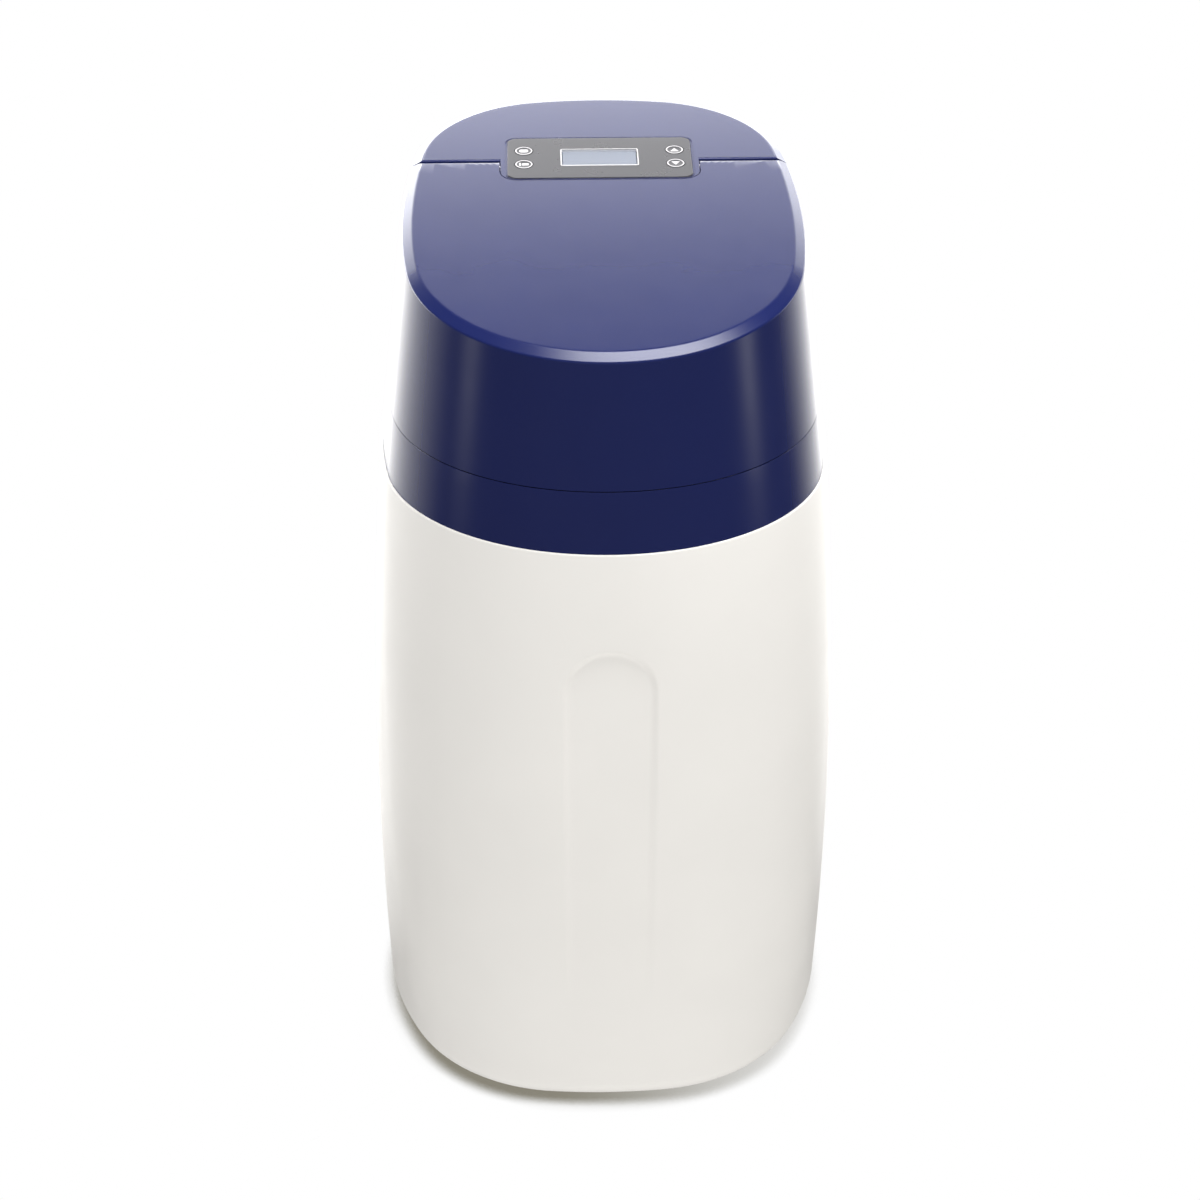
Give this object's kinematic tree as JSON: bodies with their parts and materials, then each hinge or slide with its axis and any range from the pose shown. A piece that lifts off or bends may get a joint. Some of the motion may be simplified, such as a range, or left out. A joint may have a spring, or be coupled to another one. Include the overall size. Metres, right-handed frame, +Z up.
{
  "type": "water softener",
  "caption": "Cabinet water softener: white moulded salt cabinet under a blue collar, hinged salt lid and rear cover with a key panel, over a resin vessel and control valve.",
  "frame": {"origin": "on the floor, under the line where the cabinet is widest", "axes": "+Z up, -Y to the front where the salt lid is, +X to the right seen from the front"},
  "size_m": [0.3148, 0.4116, 0.6114],
  "materials": {
    "cabinet_white": "satin moulded polyethylene",
    "top_blue": "smooth gloss, navy blue",
    "panel_black": "satin printed film, black",
    "print_white": "printed white",
    "display_glass": "clear, pale blue behind",
    "display_module": "pale display with a light frame",
    "board_green": "coated circuit board",
    "switch_black": "moulded",
    "tray_grey": "moulded",
    "vessel_wound": "wound glass fibre in resin",
    "boot_black": "moulded",
    "valve_black": "glass-filled moulding",
    "ceramic": "lapped ceramic",
    "gear_white": "acetal",
    "steel": "bright zinc or stainless",
    "seal_rubber": "seal rubber",
    "resin_amber": "packed beads",
    "tube_white": "extruded tube",
    "well_white": "extruded tube, slotted",
    "float_white": "foamed or blown float",
    "ball_white": "solid ball",
    "line_blue": "flexible tube"
  },
  "bodies": {
    "cabinet": {"cabinet_tank": "cabinet_white", "collar": "top_blue", "rear_cover": "top_blue", "cover_screws": "steel", "hinge_pins": "steel", "display_panel": "panel_black", "lcd_frame": "print_white", "lcd_window": "display_glass", "lcd_module": "display_module", "tact_switches": "switch_black", "control_board": "board_green", "control_tray": "tray_grey", "power_socket": "switch_black", "vessel_deck": "tray_grey", "resin_tank": "vessel_wound", "tank_boot": "boot_black", "riser_tube": "tube_white", "bottom_strainer": "valve_black", "top_strainer": "valve_black", "resin_bed": "resin_amber", "neck_adapter": "valve_black", "neck_seal": "seal_rubber", "valve_body": "valve_black", "fixed_disc": "ceramic", "valve_bonnet": "valve_black", "bonnet_screws": "steel", "injector_cap": "tray_grey", "inlet_connector": "valve_black", "outlet_connector": "valve_black", "union_nuts": "tray_grey", "turbine_holder": "gear_white", "drain_elbow": "valve_black", "drive_base": "tray_grey", "gear_housing": "tray_grey", "drive_motor": "steel", "brine_well": "well_white", "brine_well_cap": "well_white", "brine_valve": "valve_black", "pickup_tube": "tube_white", "float_stops": "seal_rubber", "air_check": "valve_black", "brine_line": "line_blue", "overflow_elbow": "valve_black", "overflow_gasket": "seal_rubber", "overflow_nut": "valve_black"},
    "lid": {"salt_lid": "top_blue"},
    "menu_key": {"key_menu": "panel_black"},
    "regen_key": {"key_regen": "panel_black"},
    "up_key": {"key_up": "panel_black"},
    "down_key": {"key_down": "panel_black"},
    "float": {"brine_float": "float_white"},
    "ball": {"check_ball": "ball_white"},
    "rotor": {"rotor_disc": "ceramic", "drive_spindle": "gear_white", "main_gear": "gear_white"},
    "idler": {"idler_gear": "gear_white"},
    "pinion": {"motor_pinion": "steel"},
    "turbine": {"flow_turbine": "gear_white"}
  },
  "joints": [
    {"name": "lid_hinge", "type": "hinge", "parent": "cabinet", "child": "lid", "pos_m": [0, 0.0621, 0.59573], "axis": [-1, 0, 0], "range_deg": [0, 100]},
    {"name": "menu_press", "type": "slide", "parent": "cabinet", "child": "menu_key", "axis": [0, 0.1319, -0.9913], "range_m": [0, 0.0006], "stiffness_N_per_m": 1500},
    {"name": "regen_press", "type": "slide", "parent": "cabinet", "child": "regen_key", "axis": [0, 0.1319, -0.9913], "range_m": [0, 0.0006], "stiffness_N_per_m": 1500},
    {"name": "up_press", "type": "slide", "parent": "cabinet", "child": "up_key", "axis": [0, 0.1319, -0.9913], "range_m": [0, 0.0006], "stiffness_N_per_m": 1500},
    {"name": "down_press", "type": "slide", "parent": "cabinet", "child": "down_key", "axis": [0, 0.1319, -0.9913], "range_m": [0, 0.0006], "stiffness_N_per_m": 1500},
    {"name": "float_rise", "type": "slide", "parent": "cabinet", "child": "float", "axis": [0, 0, 1], "range_m": [0, 0.06]},
    {"name": "ball_lift", "type": "slide", "parent": "cabinet", "child": "ball", "axis": [0, 0, 1], "range_m": [0, 0.007]},
    {"name": "spindle_turn", "type": "hinge", "parent": "cabinet", "child": "rotor", "pos_m": [0, 0.066, 0.538], "axis": [0, 0, 1], "continuous": true},
    {"name": "idler_turn", "type": "hinge", "parent": "cabinet", "child": "idler", "pos_m": [0.045, 0.066, 0.538], "axis": [0, 0, 1], "continuous": true},
    {"name": "pinion_turn", "type": "hinge", "parent": "cabinet", "child": "pinion", "pos_m": [0.04875, 0.0897, 0.538], "axis": [0, 0, 1], "continuous": true},
    {"name": "turbine_turn", "type": "hinge", "parent": "cabinet", "child": "turbine", "pos_m": [0.03, 0.157, 0.502], "axis": [0, 1, 0], "continuous": true}
  ],
  "couplings": [
    {"joint": "idler_turn", "follows": "spindle_turn", "ratio": -2},
    {"joint": "pinion_turn", "follows": "spindle_turn", "ratio": 3.3333}
  ]
}
